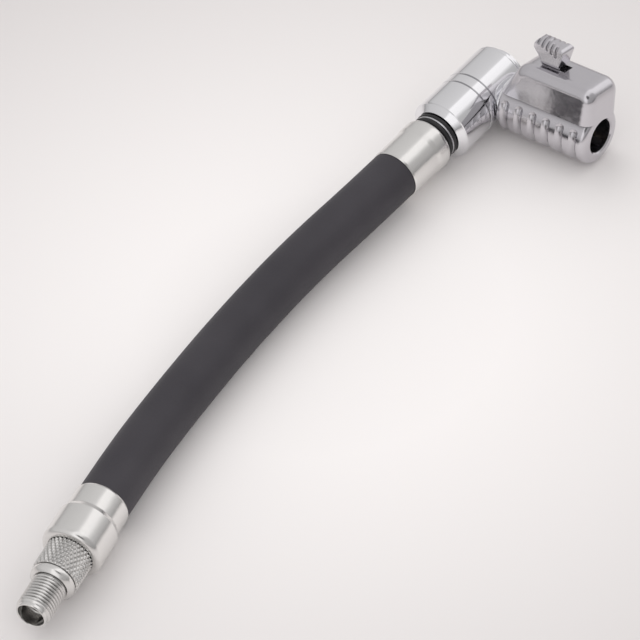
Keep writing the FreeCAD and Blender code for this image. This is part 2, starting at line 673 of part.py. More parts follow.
def make_chuck_body():
    body = new_body("chuck_body", chuck_frame)
    add_block(body)
    add_barrel(body)
    add_scallops(body)
    turned(body, [
        ("chuck_rear - 1", "0"),
        (f"{MOUTH} + 1", "0"),
        (f"{MOUTH} + 1", "mouth_radius + mouth_chamfer + 1"),
        (f"{MOUTH} - mouth_chamfer", "mouth_radius"),
        (from_mouth("relief_front"), "mouth_radius"),
        (from_mouth("relief_front"), "mouth_radius + relief_depth"),
        (from_mouth("relief_front + relief_length"), "mouth_radius + relief_depth"),
        (from_mouth("relief_front + relief_length"), "mouth_radius"),
        (from_mouth("seal_depth"), "mouth_radius"),
        (from_mouth("seal_depth"), "chamber_radius"),
        ("chuck_rear - 1", "chamber_radius"),
    ], cut=True)
    side_prism(body, box_points(from_mouth("channel_rear"), from_mouth("channel_front"),
                                "channel_floor", "channel_roof"), "channel_half_width", cut=True)
    window_rear = from_mouth("jaw_stem_front + jaw_stem_length + slide_gap")
    window_front = from_mouth("jaw_stem_front - slide_gap")
    side_prism(body, box_points(window_rear, window_front, "0", "channel_floor + 0.5"),
               "jaw_half_width + slide_gap", cut=True)
    slot_front = from_mouth("neck_front - lock_travel - slide_gap")
    slot_rear = from_mouth("neck_front + neck_length + slide_gap")
    side_prism(body, box_points(slot_rear, slot_front, "channel_roof - 0.5", "block_height + 1"),
               "slot_half_width", cut=True)
    for place in spring_places():
        upright_round(body, place, "0", "spring_radius + 0.1",
                      "channel_floor - spring_pocket", "spring_pocket + 0.5", cut=True)
    for feature in body.Group:
        if hasattr(feature, "Refine"):
            feature.Refine = False
    doc.recompute()
    return body


def spring_places():
    front = from_mouth("jaw_stem_front - 0.5 * jaw_shoulder")
    rear = from_mouth("jaw_stem_front + jaw_stem_length + 0.5 * jaw_shoulder")
    return [front, rear]


# Seal stack in the chuck's rear chamber
SEAL_FACE = from_mouth("seal_depth + seat_gap")
SEAL_RADIUS = "(chamber_radius - seat_gap)"


def make_valve_seal():
    body = new_body("valve_seal", chuck_frame)
    back = f"{SEAL_FACE} - seal_thickness"
    turned(body, [
        (back, "seal_bore"),
        (back, SEAL_RADIUS),
        (SEAL_FACE, SEAL_RADIUS),
        (SEAL_FACE, "seal_bore + 0.5"),
        (f"{SEAL_FACE} - 0.5", "seal_bore"),
    ])
    return body


def make_seal_washer():
    body = new_body("seal_washer", chuck_frame)
    front = f"({SEAL_FACE} - seal_thickness)"
    back = f"{front} - washer_thickness"
    turned(body, [
        (back, "seal_bore"),
        (back, SEAL_RADIUS),
        (front, SEAL_RADIUS),
        (front, "seal_bore"),
    ])
    return body


def make_core_opener():
    body = new_body("core_opener", chuck_frame)
    front = f"({SEAL_FACE} - seal_thickness - washer_thickness)"
    back = f"{front} - opener_disc"
    pin_end = f"({SEAL_FACE} - opener_recess)"
    turned(body, [
        (back, "0"),
        (back, SEAL_RADIUS),
        (front, SEAL_RADIUS),
        (front, "opener_pin"),
        (f"{pin_end} - 0.4", "opener_pin"),
        (pin_end, "opener_pin - 0.4"),
        (pin_end, "0"),
    ])
    sketch = new_sketch(body, "YZ_Plane", back)
    draw_circle(sketch, "opener_vent_circle", "0", "opener_vent")
    vent = extruded(body, sketch, "opener_disc + 1", cut=True, reverse=True)
    vents = body.newObject("PartDesign::PolarPattern", "vents")
    vents.Originals = [vent]
    vents.Axis = (sketch, ["N_Axis"])
    vents.Angle = 360
    vents.Occurrences = 4
    body.Tip = vents
    return body


# Lock
RAMP_SLOPE = "tan(ramp_angle * 1deg)"
WEDGE_TOP = "(channel_roof - seat_gap - cover_thickness)"


def ramp_height(distance, gap="0"):
    """Height of the ramp's plane at a distance from the mouth."""
    return f"(wedge_ramp_foot + (wedge_ramp_start - ({distance})) * {RAMP_SLOPE} - ({gap}))"


def make_lock_wedge():
    body = new_body("lock_wedge", chuck_frame)
    rear = from_mouth("wedge_nose + wedge_length")
    low = "(channel_floor + slide_gap)"
    side_prism(body, [
        (rear, low),
        (from_mouth("wedge_ramp_start + 0.4"), low),
        (from_mouth("wedge_ramp_start"), "wedge_ramp_foot"),
        (from_mouth("wedge_nose"), ramp_height("wedge_nose")),
        (from_mouth("wedge_nose"), WEDGE_TOP),
        (rear, WEDGE_TOP),
    ], "channel_half_width - slide_gap")
    upright_round(body, RIVET_PLACE, "0", "rivet_radius", low, f"{WEDGE_TOP} - {low} + 1", cut=True)
    upright_round(body, RIVET_PLACE, "0", "rivet_head", f"{low} - 1", "1.8", cut=True)
    return body


RIVET_PLACE = from_mouth("neck_front + 0.5 * neck_length")


def make_slot_cover():
    body = new_body("slot_cover", chuck_frame)
    front = from_mouth("neck_front - lock_travel - 2 * slide_gap")
    rear = from_mouth("wedge_nose + wedge_length")
    side_prism(body, box_points(rear, front, WEDGE_TOP, f"{WEDGE_TOP} + cover_thickness"),
               "channel_half_width - slide_gap")
    upright_round(body, RIVET_PLACE, "0", "rivet_radius", f"{WEDGE_TOP} - 1", "cover_thickness + 2", cut=True)
    return body


def make_slide_rivet():
    body = new_body("slide_rivet", chuck_frame)
    low = "(channel_floor + slide_gap)"
    upright_round(body, RIVET_PLACE, "0", "rivet_head", low, "0.8")
    upright_round(body, RIVET_PLACE, "0", "rivet_radius", f"{low} + 0.5",
                  f"knob_foot + rivet_bite - {low} - 0.5")
    return body


def make_grip_jaw():
    body = new_body("grip_jaw", chuck_frame)
    head_front = "jaw_stem_front - jaw_shoulder"
    head_rear = "jaw_stem_front + jaw_stem_length + jaw_shoulder"
    side_prism(body, [
        (from_mouth(head_rear), "jaw_head_foot"),
        (from_mouth(head_front), "jaw_head_foot"),
        (from_mouth(head_front), ramp_height(head_front, "ramp_gap")),
        (from_mouth(head_rear), ramp_height(head_rear, "ramp_gap")),
    ], "channel_half_width - slide_gap")
    side_prism(body, box_points(from_mouth("jaw_stem_front + jaw_stem_length"), from_mouth("jaw_stem_front"),
                                "mouth_radius - 2", "jaw_head_foot + 0.3"), "jaw_half_width")
    turned(body, box_points("chuck_rear", MOUTH, "0", "mouth_radius + jaw_clearance"), cut=True)
    return body


def make_jaw_spring(label, place):
    body = new_body(label, chuck_frame)
    foot = "(channel_floor - spring_pocket + 0.5 * seat_gap)"
    sketch = new_sketch(body, "XY_Plane", foot)
    draw_circle(sketch, place, "0", "spring_radius")
    draw_circle(sketch, place, "0", "spring_radius - spring_wall")
    extruded(body, sketch, f"jaw_head_foot - {foot} - 0.5 * seat_gap")
    return body


# Thumb slide
def make_thumb_slide():
    body = new_body("thumb_slide", chuck_frame)
    front = from_mouth("knob_front")
    rear = from_mouth("knob_front + knob_length")
    neck_front = from_mouth("neck_front")
    neck_rear = from_mouth("neck_front + neck_length")
    nose_top = "(knob_top - knob_top_drop)"
    side_prism(body, [
        (neck_rear, "knob_foot"),
        (neck_front, "knob_foot"),
        (front, "knob_nose"),
        (f"({front}) - 1.2", nose_top, "knob_end_round"),
        (f"({rear}) + 1.4", "knob_top"),
        (rear, "knob_tail", "knob_end_round + 0.6"),
        (neck_rear, "knob_tail_foot"),
    ], "knob_half_width")
    arch_limit = "(knob_top - knob_crown)"
    spring_line = f"({arch_limit} + sqrt(knob_crown ^ 2 - knob_half_width ^ 2))"
    arch = new_sketch(body, "YZ_Plane", f"({rear}) - 1")
    draw_outline(arch, [
        ("-knob_half_width - 1", "knob_foot - 1"),
        ("-knob_half_width", "knob_foot - 1"),
        ("-knob_half_width", spring_line),
        ("knob_half_width", spring_line, "-knob_crown"),
        ("knob_half_width", "knob_foot - 1"),
        ("knob_half_width + 1", "knob_foot - 1"),
        ("knob_half_width + 1", "knob_top + 1"),
        ("-knob_half_width - 1", "knob_top + 1"),
    ])
    extruded(body, arch, "knob_length + 2", cut=True, reverse=True)
    add_rib_grooves(body, spring_line)
    neck_low = f"({WEDGE_TOP} + cover_thickness)"
    side_prism(body, box_points(neck_rear, neck_front, neck_low, "knob_foot + 0.6"),
               "slot_half_width - neck_side_gap")
    upright_round(body, RIVET_PLACE, "0", "rivet_radius + 0.02", f"{neck_low} - 1",
                  f"knob_foot + rivet_bite + 0.05 - {neck_low} + 1", cut=True)
    return body


def add_rib_grooves(body, spring_line):
    """Grooves of even depth round the arch, whose ends step down towards the front."""
    inner = "(knob_half_width - rib_depth)"
    for i in range(round(size("rib_count"))):
        front = from_mouth(f"knob_front + rib_first + {i} * rib_pitch")
        foot = f"(rib_foot + {i} * rib_foot_rise)"
        sketch = new_sketch(body, "YZ_Plane", f"({front}) - rib_groove")
        draw_outline(sketch, [
            ("-knob_half_width - 1", foot),
            (f"-{inner}", f"{foot} + 0.3"),
            (f"-{inner}", f"{spring_line} - 0.1"),
            (inner, f"{spring_line} - 0.1", "-(knob_crown - rib_depth)"),
            (inner, f"{foot} + 0.3"),
            ("knob_half_width + 1", foot),
            ("knob_half_width + 1", "knob_top + 1"),
            ("-knob_half_width - 1", "knob_top + 1"),
        ])
        extruded(body, sketch, "rib_groove", cut=True, reverse=True)


# Hose
def hose_path():
    """Straight runs of the route joined by tangent arcs as large as the runs allow."""
    edges = []
    here = HOSE_ROUTE[0]
    radii = []
    for before, corner, after in zip(HOSE_ROUTE, HOSE_ROUTE[1:], HOSE_ROUTE[2:]):
        way_in = (corner - before).normalize()
        way_out = (after - corner).normalize()
        turn = way_in.getAngle(way_out)
        reach = ARC_SHARE * min((corner - before).Length, (after - corner).Length)
        radius = reach / math.tan(turn / 2)
        start = corner - way_in * reach
        end = corner + way_out * reach
        bisector = (way_out - way_in).normalize()
        middle = corner + bisector * (radius / math.cos(turn / 2) - radius)
        edges.append(Part.LineSegment(here, start).toShape())
        edges.append(Part.Arc(start, middle, end).toShape())
        radii.append(radius)
        here = end
    edges.append(Part.LineSegment(here, HOSE_ROUTE[-1]).toShape())
    print("hose arc radii, mm:", ", ".join(f"{r:.0f}" for r in radii))
    return Part.Wire(edges)


def make_hose():
    path = hose_path()
    start = HOSE_ROUTE[0]
    way = (HOSE_ROUTE[1] - start).normalize()
    skins = []
    for radius in (size("hose_radius"), size("hose_bore")):
        ring = Part.Wire(Part.Circle(start, way, radius).toShape())
        skins.append(path.makePipeShell([ring], True, False))
    shape = skins[0].cut(skins[1])
    expected = math.pi * (size("hose_radius") ** 2 - size("hose_bore") ** 2) * path.Length
    print(f"hose length {path.Length:.1f} mm, volume {shape.Volume:.0f} of {expected:.0f} mm3")
    hose = doc.addObject("Part::Feature", "hose")
    hose.Label = "hose"
    hose.Shape = shape
    return hose


def make_all():
    springs = [
        make_jaw_spring(label, place)
        for label, place in zip(("jaw_spring_front", "jaw_spring_rear"), spring_places())
    ]
    collar_centre = "(collar_ring_radius - collar_ring_section)"
    return springs + [
        make_threaded_nipple(),
        make_lower_ferrule(),
        make_hose(),
        make_upper_ferrule(),
        make_swivel_stem(),
        make_ring("stem_oring", "(-stem_oring_place)", "(journal_radius - stem_oring_section)",
                  "stem_oring_section"),
        make_ring("swivel_oring_outer", OUTER_RING, collar_centre, "collar_ring_section"),
        make_swivel_washer(),
        make_ring("swivel_oring_inner", INNER_RING, collar_centre, "collar_ring_section"),
        make_ring("stem_snap_ring", "(-snap_ring_place)", "(journal_radius + running_gap)", "snap_ring_wire"),
        make_elbow_body(),
        make_elbow_end_cap(),
        make_neck_stub(),
        make_ring("neck_oring", "(spot_face - neck_ring_section)", "(neck_thread_radius + neck_ring_section)",
                  "neck_ring_section", frame=chuck_frame, axis="X"),
        make_chuck_body(),
        make_valve_seal(),
        make_seal_washer(),
        make_core_opener(),
        make_thumb_slide(),
        make_slide_rivet(),
        make_lock_wedge(),
        make_slot_cover(),
        make_grip_jaw(),
    ]


def check(subparts):
    bad = [o.Name for o in doc.Objects if {"Invalid", "Error"} & set(o.State)]
    for part in subparts:
        if part.Shape.isNull() or not part.Shape.isValid() or part.Shape.Volume <= 0:
            bad.append(part.Label)
    if bad:
        raise RuntimeError(f"not sound: {', '.join(bad)}")


def centre_on_ground(subparts):
    """Moves everything so that the pieces other than the hose stand centred over the origin."""
    box = FreeCAD.BoundBox()
    for part in subparts:
        if part.Label != "hose":
            box.add(part.Shape.optimalBoundingBox(False, False))
    shift = Vector(-box.Center.x, -box.Center.y, -box.ZMin)
    for part in subparts:
        part.Placement = Placement(shift, Rotation()) * part.Placement
    print("origin shift, mm:", [round(c, 4) for c in shift])
    return shift


parts = make_all()
doc.recompute()
check(parts)
centre_on_ground(parts)
doc.recompute()
check(parts)
for part in parts:
    part.Shape.exportStep(os.path.join("parts", f"{part.Label}.step"))
    print(f"{part.Label:20s} {part.Shape.Volume:9.2f} mm3, {len(part.Shape.Solids)} solid")
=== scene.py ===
# %% [markdown]
# # A lock-on tyre-valve chuck on a rubber hose
#
# The real object is a small workshop fitting: a die-cast chuck with a thumb slide, a polished
# elbow that swivels on the end of a thick rubber hose, and a knurled, threaded inlet at the
# far end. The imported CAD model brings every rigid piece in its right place. This lesson adds
# what CAD leaves plain: the finishes, the knurl, the thread and the way light falls on chrome.

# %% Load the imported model
import json
import math

import bmesh
import bpy
from mathutils import Matrix, Vector


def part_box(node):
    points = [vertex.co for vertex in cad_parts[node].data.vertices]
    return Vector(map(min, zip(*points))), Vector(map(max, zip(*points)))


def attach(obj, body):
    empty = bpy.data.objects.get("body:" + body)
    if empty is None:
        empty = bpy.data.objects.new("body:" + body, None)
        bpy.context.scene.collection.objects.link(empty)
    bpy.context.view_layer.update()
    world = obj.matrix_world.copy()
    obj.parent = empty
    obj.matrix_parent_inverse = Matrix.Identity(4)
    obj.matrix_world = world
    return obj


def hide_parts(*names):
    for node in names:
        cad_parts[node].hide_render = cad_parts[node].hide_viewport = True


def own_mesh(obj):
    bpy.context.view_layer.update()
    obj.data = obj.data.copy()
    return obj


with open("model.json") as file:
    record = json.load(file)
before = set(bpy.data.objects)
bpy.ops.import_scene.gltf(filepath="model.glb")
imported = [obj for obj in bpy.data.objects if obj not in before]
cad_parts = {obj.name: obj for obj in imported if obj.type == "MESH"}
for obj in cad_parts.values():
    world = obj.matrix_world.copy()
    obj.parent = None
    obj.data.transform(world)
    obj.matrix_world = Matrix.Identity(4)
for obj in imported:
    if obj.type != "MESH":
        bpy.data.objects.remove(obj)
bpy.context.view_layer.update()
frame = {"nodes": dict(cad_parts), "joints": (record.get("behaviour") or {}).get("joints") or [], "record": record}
NODES = frame["nodes"]
MM = 0.001

# %% [markdown]
# ## Places that the frame gives
#
# A piece that stands on CAD geometry should read its place from it, so that both stay together
# when a size changes. The swivel joint gives the elbow's axis, and the inlet's mount gives the
# middle and the direction of the thread. The chuck's mouth is a mount too. From the swivel's x
# and the mouth's y comes one corner on the floor, from which the camera and the hose are placed.

# %% Read the axes of the swivel, the inlet and the mouth
joints = {joint["name"]: joint for joint in frame["joints"]}
mounts = {mount["name"]: mount for mount in frame["record"]["mounts"]}
swivel_point = Vector(joints["elbow_swivel"]["pos_m"])
inlet_middle = Vector(mounts["inlet_thread"]["pos_m"])
inlet_axis = Vector(mounts["inlet_thread"]["axis"]).normalized()
mouth_middle = Vector(mounts["valve_mouth"]["pos_m"])
elbow_corner = Vector((swivel_point.x, mouth_middle.y, 0))
body_of = {
    node: body
    for body, nodes in frame["record"]["behaviour"]["bodies"].items()
    for node in nodes
}
slot_of = {part["node"]: part["material_slot"] for part in frame["record"]["subparts"]}
print("inlet axis", [round(v, 3) for v in inlet_axis])

# %% [markdown]
# ## The camera
#
# The photograph was taken with a long lens from above and to one side. The angle of view, the
# place and a small roll of the camera below were fitted to where the piece's edges lie in the
# picture. They are written down as the angles that a photographer would name.

# %% Set the camera
VIEW_AZIMUTH = math.radians(42.13)
VIEW_ELEVATION = math.radians(44.10)
VIEW_ROLL = math.radians(-6.94)
VIEW_DISTANCE = 839.96 * MM
PHOTO_FOCAL_PIXELS = 3819.0
PHOTO_WIDTH_PIXELS = 640.0
SENSOR_WIDTH = 36.0
TARGET_FROM_ELBOW = Vector((13.73, -81.90, 7.0)) * MM


def camera_axes(azimuth, elevation, roll):
    """The camera's right, up and view directions."""
    flat = math.cos(elevation)
    view = Vector((-math.sin(azimuth) * flat, math.cos(azimuth) * flat, -math.sin(elevation)))
    right = Vector((math.cos(azimuth), math.sin(azimuth), 0))
    up = right.cross(view)
    rolled_right = right * math.cos(roll) + up * math.sin(roll)
    rolled_up = up * math.cos(roll) - right * math.sin(roll)
    return rolled_right, rolled_up, view


right, up, view = camera_axes(VIEW_AZIMUTH, VIEW_ELEVATION, VIEW_ROLL)
target = elbow_corner + TARGET_FROM_ELBOW
camera_data = bpy.data.cameras.new("camera")
camera_data.sensor_fit = "HORIZONTAL"
camera_data.sensor_width = SENSOR_WIDTH
camera_data.lens = SENSOR_WIDTH * PHOTO_FOCAL_PIXELS / PHOTO_WIDTH_PIXELS
camera_data.clip_start = 0.01
camera = bpy.data.objects.new("camera", camera_data)
camera.matrix_world = Matrix.Translation(target - view * VIEW_DISTANCE) @ Matrix((
    (right.x, up.x, -view.x),
    (right.y, up.y, -view.y),
    (right.z, up.z, -view.z),
)).to_4x4()
bpy.context.scene.collection.objects.link(camera)
bpy.context.scene.camera = camera
print(f"lens {camera_data.lens:.1f} mm")

# %% [markdown]
# ## Writing shaders as sums
#
# A material is a graph of nodes, but it reads best as arithmetic. The small class below wraps
# one socket, and its operators add Math nodes, so `1 - mask * 0.3` is written as it is meant.
# Any other node comes from one method, which takes its settings first and its inputs after.
# Graph knows only nodes, so it serves the world as well, and Shader adds a material to it.


# %% A socket that adds, subtracts, multiplies and divides
class Value:
    """One output of a shader node, with arithmetic that adds Math nodes."""

    def __init__(self, graph, socket):
        self.graph = graph
        self.socket = socket

    def maths(self, operation, first, second):
        return self.graph.node("ShaderNodeMath", {"operation": operation}, first, second)

    def __add__(self, other):
        return self.maths("ADD", self, other)

    def __sub__(self, other):
        return self.maths("SUBTRACT", self, other)

    def __rsub__(self, other):
        return self.maths("SUBTRACT", other, self)

    def __mul__(self, other):
        return self.maths("MULTIPLY", self, other)

    def __truediv__(self, other):
        return self.maths("DIVIDE", self, other)

    def __rtruediv__(self, other):
        return self.maths("DIVIDE", other, self)

    __radd__ = __add__
    __rmul__ = __mul__


# %% A graph of nodes, and the material made with one
class Graph:
    """A tree of shader nodes under construction."""

    def __init__(self, tree):
        self.tree = tree

    def node(self, kind, settings=None, *inputs, out=0, **named):
        """Adds a node: settings first, then its inputs by place or by name."""
        node = self.tree.nodes.new(kind)
        for name, setting in (settings or {}).items():
            if name == "stops":
                self.set_stops(node.color_ramp, setting)
            else:
                setattr(node, name, setting)
        for place, value in enumerate(inputs):
            self.feed(node.inputs[place], value)
        for name, value in named.items():
            self.feed(node.inputs[name.replace("_", " ")], value)
        return Value(self, node.outputs[out])

    def set_stops(self, ramp, stops):
        """Fills a colour ramp with (place, grey or colour) stops."""
        while len(ramp.elements) < len(stops):
            ramp.elements.new(1.0)
        for element, (place, tone) in zip(ramp.elements, stops):
            colour = tuple(tone) if hasattr(tone, "__len__") else (tone,) * 3
            element.position = place
            element.color = opaque(colour)

    def feed(self, socket, value):
        if isinstance(value, Value):
            self.tree.links.new(value.socket, socket)
        elif value is not None:
            socket.default_value = value


def opaque(colour, share=1):
    """A colour for a socket, at a share of its brightness, with full opacity."""
    return tuple(part * share for part in colour) + (1,)


class Shader(Graph):
    """A material under construction, with its Principled shader ready."""

    def __init__(self, name, **numbers):
        self.material = bpy.data.materials.new(name)
        self.material.use_nodes = True
        super().__init__(self.material.node_tree)
        self.principled = self.tree.nodes["Principled BSDF"]
        for socket, number in numbers.items():
            self.principled.inputs[socket.replace("_", " ").title()].default_value = number

    def surface(self, **values):
        """Links values to the Principled shader's own sockets."""
        for name, value in values.items():
            self.feed(self.principled.inputs[name.replace("_", " ")], value)

    def place(self):
        """The point on the object in metres, the same in every view."""
        return self.node("ShaderNodeTexCoord", None, out=3)

    def noise(self, scale, detail, roughness=0.5):
        numbers = {"Scale": scale, "Detail": detail, "Roughness": roughness}
        return self.node("ShaderNodeTexNoise", None, Vector=self.place(), **numbers)

    def mix(self, share, first, second):
        return self.node("ShaderNodeMixRGB", {"blend_type": "MIX"}, share, first, second)

    def painted_shade_openness(self, reach):
        """A mask for painted shade: 1 on open faces, falling towards 0 in narrow recesses within the reach in
        metres.
        """
        settings = {"only_local": True, "samples": 6}
        return self.node("ShaderNodeAmbientOcclusion", settings, Distance=reach, out=1)

    def bump(self, height, strength, distance):
        numbers = {"Strength": strength, "Distance": distance, "Height": height}
        return self.node("ShaderNodeBump", None, **numbers)


print("shader helpers ready")

# %% [markdown]
# ## Three platings
#
# The elbow was turned, polished and plated, so it is almost a mirror. The chuck is a casting:
# its plating follows a skin that is never flat, so it is a little greyer and softer. The
# ferrules and the inlet are satin nickel, drawn and rolled, with a warmer tone. Each plating
# has a slow waviness, a fine haze in its gloss, and painted shade: a darker colour in the
# narrow recesses, where less light falls. The painted shade is what makes grip ribs and a
# knurl readable.

# %% Make the platings
WAVE_HEIGHT = 0.2 * MM
SPOTS_TO_HAZE = 0.25
SPOT_STRENGTH = 0.12
SPOT_TONE = 0.8
RECESS_ROUGHER = 0.15


def plated(name, colour, painted_shade_tone, painted_shade_reach, wave, haze):
    """A plated metal: wave is (scale, strength), haze is (scale, lowest, span) of roughness."""
    shader = Shader(name, metallic=1.0)
    wave_scale, wave_strength = wave
    haze_scale, lowest_roughness, haze_span = haze
    waves = shader.noise(wave_scale, detail=2.0)
    fine = shader.noise(haze_scale, detail=4.0)
    spots = shader.noise(haze_scale * SPOTS_TO_HAZE, detail=3.0)
    # Painted shade: the base colour turns darker in narrow recesses, where less light falls; the recesses are also
    # rougher.
    painted_shade_mask = shader.painted_shade_openness(painted_shade_reach)
    worn = shader.mix(spots * SPOT_STRENGTH, opaque(colour), opaque(colour, SPOT_TONE))
    shader.surface(
        Base_Color=shader.mix(painted_shade_mask, opaque(colour, painted_shade_tone), worn),
        Roughness=fine * haze_span + lowest_roughness + (1 - painted_shade_mask) * RECESS_ROUGHER,
        Normal=shader.bump(waves, wave_strength, WAVE_HEIGHT),
    )
    return shader.material


# In each plating below, the darker share and the reach in the recesses are painted shade.
FINISHES = {
    "chrome": plated(
        "polished_chrome",
        (0.84, 0.84, 0.86),
        painted_shade_tone=0.35,
        painted_shade_reach=1.2 * MM,
        wave=(90.0, 0.15),
        haze=(700.0, 0.05, 0.06),
    ),
    "cast_chrome": plated(
        "cast_chrome",
        (0.62, 0.605, 0.635),
        painted_shade_tone=0.15,
        painted_shade_reach=1.4 * MM,
        wave=(240.0, 0.45),
        haze=(1200.0, 0.11, 0.12),
    ),
    "satin_nickel": plated(
        "satin_nickel",
        (0.80, 0.79, 0.775),
        painted_shade_tone=0.18,
        painted_shade_reach=0.6 * MM,
        wave=(110.0, 0.6),
        haze=(1500.0, 0.13, 0.14),
    ),
}
print("platings:", sorted(FINISHES))

# %% [markdown]
# ## Plain metals and rubbers
#
# What works inside the chuck is brass, zinc-plated steel and spring wire, and a dark strip
# closes the slot on top. They need only a tone and a little haze. Rubber has a fine grain that
# breaks up its gloss and a slow cloudiness in its tone. The hose is a dull charcoal, and the
# sealing rings are nearer to black and glossier, because they are moulded smooth.

# %% Make the plain metals and the rubbers
METAL_HAZE_SCALE = 900.0
METAL_HAZE_SPAN = 0.1
GRAIN_SCALE = 2600.0
GRAIN_HEIGHT = 0.12 * MM
GRAIN_STRENGTH = 0.25
GRAIN_GLOSS_SPAN = 0.2
CLOUD_SCALE = 60.0


def plain_metal(name, colour, roughness):
    shader = Shader(name, metallic=1.0)
    haze = shader.noise(METAL_HAZE_SCALE, detail=4.0)
    shader.surface(Base_Color=opaque(colour), Roughness=haze * METAL_HAZE_SPAN + roughness)
    return shader.material


def rubber_finish(name, dark, light, lowest_roughness):
    shader = Shader(name)
    grain = shader.noise(GRAIN_SCALE, detail=5.0, roughness=0.6)
    cloud = shader.noise(CLOUD_SCALE, detail=2.0)
    shader.surface(
        Base_Color=shader.node("ShaderNodeValToRGB", {"stops": [(0.3, dark), (0.7, light)]}, cloud),
        Roughness=grain * GRAIN_GLOSS_SPAN + lowest_roughness,
        Normal=shader.bump(grain, GRAIN_STRENGTH, GRAIN_HEIGHT),
    )
    return shader.material


FINISHES["brass"] = plain_metal("turned_brass", (0.72, 0.56, 0.26), 0.25)
FINISHES["bright_steel"] = plain_metal("zinc_plate", (0.6, 0.6, 0.62), 0.3)
FINISHES["spring_steel"] = plain_metal("spring_wire", (0.45, 0.45, 0.46), 0.35)
FINISHES["dark_steel"] = plain_metal("blackened_strip", (0.26, 0.26, 0.27), 0.4)
FINISHES["hose_rubber"] = rubber_finish(
    "hose_rubber",
    dark=(0.030, 0.027, 0.034),
    light=(0.042, 0.038, 0.046),
    lowest_roughness=0.5,
)
FINISHES["black_rubber"] = rubber_finish(
    "black_rubber",
    dark=(0.006, 0.006, 0.007),
    light=(0.012, 0.011, 0.013),
    lowest_roughness=0.3,
)
for name, node in NODES.items():
    node.data.materials.clear()
    node.data.materials.append(FINISHES[slot_of[name]])
print("finishes:", sorted(FINISHES))

# %% [markdown]
# ## Turned pieces as a profile swept round an axis
#
# The threaded inlet was turned on a lathe, knurled and threaded. CAD gives it as a plain turned
# shape, because cut teeth cost many faces there. Here a profile is swept round the axis, and the
# radius of every point may depend on its angle too. The knurl and the thread are then two small
# functions of angle and distance, and their teeth are real geometry that catches the light.


# %% Make a piece from points and faces
def outward_faces(mesh):
    """Turns every face of a closed mesh outward."""
    closed = bmesh.new()
    closed.from_mesh(mesh)
    bmesh.ops.recalc_face_normals(closed, faces=closed.faces)
    closed.to_mesh(mesh)
    closed.free()


def closed_piece(name, points, faces):
    mesh = bpy.data.meshes.new(name)
    mesh.from_pydata([tuple(point) for point in points], [], faces)
    outward_faces(mesh)
    piece = bpy.data.objects.new(name, mesh)
    bpy.context.scene.collection.objects.link(piece)
    return piece


def finish_piece(piece, node, body, slot, sharp_degrees):
    """Gives a new piece its finish, its shading and its body, and hides the CAD node it stands for."""
    piece.data.materials.append(FINISHES[slot])
    for face in piece.data.polygons:
        face.use_smooth = True
    piece.data.set_sharp_from_angle(angle=math.radians(sharp_degrees))
    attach(piece, body)
    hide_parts(node)
    print(piece.name, "has", len(piece.data.polygons), "faces")


# %% Sweep a profile round an axis
def sweep_round(name, middle, axis, rows, steps, radius_at=None):
    """A closed turned mesh: rows are (distance, radius, kind) in mm along the axis."""
    axis = Vector(axis).normalized()
    across = axis.orthogonal().normalized()
    upright = axis.cross(across)
    points = []
    for distance, radius, kind in rows:
        for step in range(steps):
            angle = 2 * math.pi * step / steps
            reach = radius_at(distance, radius, kind, angle) if radius_at else radius
            direction = across * math.cos(angle) + upright * math.sin(angle)
            points.append(middle + (axis * distance + direction * reach) * MM)
    faces = []
    for row in range(len(rows)):
        near = row * steps
        far = ((row + 1) % len(rows)) * steps
        for step in range(steps):
            after = (step + 1) % steps
            faces.append((near + step, near + after, far + after, far + step))
    return closed_piece(name, points, faces)


# %% [markdown]
# ## The knurled and threaded inlet
#
# A diamond knurl is two families of slanted grooves that cross. Each groove is a valley in a
# triangle wave, and the lower of the two waves at a point gives flat-topped diamonds. The thread
# is one ridge that climbs by its pitch in each turn, so its wave is a function of the distance
# less the turned part of a pitch. Both waves are sampled at whole parts of their pitch, so that
# every tooth has the same crisp shape. Distances are measured from the hose's end of the fitting.

# %% Choose the knurl and the thread
KNURL_STARTS = 30
KNURL_PITCH = 1.64
KNURL_DEPTH = 0.36
KNURL_FLAT_TOP = 1.35
KNURL_RADIUS = 5.3
KNURL_FROM = 13.9
KNURL_TO = 22.1
ROWS_PER_KNURL = 10
THREAD_PITCH = 0.8
THREAD_DEPTH = 0.46
THREAD_FLAT_TOP = 1.2
THREAD_RADIUS = 3.875
THREAD_FROM = 24.9
THREAD_TO = 32.0
THREAD_MIDDLE = 28.45
THREAD_FADE_IN = 0.5
THREAD_FADE_OUT = 0.6
ROWS_PER_THREAD = 8
INLET_STEPS = 10 * KNURL_STARTS
INLET_SHARP_DEGREES = 28


def triangle_wave(turns):
    """Rises from 0 at whole numbers to 1 half way between them."""
    return 1 - abs(2 * (turns % 1.0) - 1)


def inlet_radius(distance, radius, kind, angle):
    """The radius at a point of the inlet, with distance measured from the thread's middle."""
    turn = angle / (2 * math.pi)
    along = distance + THREAD_MIDDLE
    if kind == "knurl":
        starts = KNURL_STARTS * turn
        climb = along / KNURL_PITCH
        crossing = min(triangle_wave(starts + climb), triangle_wave(starts - climb))
        return radius - KNURL_DEPTH * (1 - min(crossing * KNURL_FLAT_TOP, 1))
    if kind == "thread":
        wave = triangle_wave(along / THREAD_PITCH - turn)
        fade_in = (along - THREAD_FROM) / THREAD_FADE_IN
        fade_out = (THREAD_TO - THREAD_MIDDLE - distance) / THREAD_FADE_OUT
        depth = THREAD_DEPTH * (1 - min(wave * THREAD_FLAT_TOP, 1))
        return radius - depth * max(min(1, fade_in, fade_out), 0)
    return radius


print("knurl starts:", KNURL_STARTS, "thread turns:", round((THREAD_TO - THREAD_FROM) / THREAD_PITCH, 1))


# %% Turn the inlet
def rows_between(start, end, radius, kind, spacing):
    count = round((end - start) / spacing)
    return [(start + (end - start) * i / count, radius, kind) for i in range(count + 1)]


def plain_rows(*places):
    return [(distance, radius, "plain") for distance, radius in places]


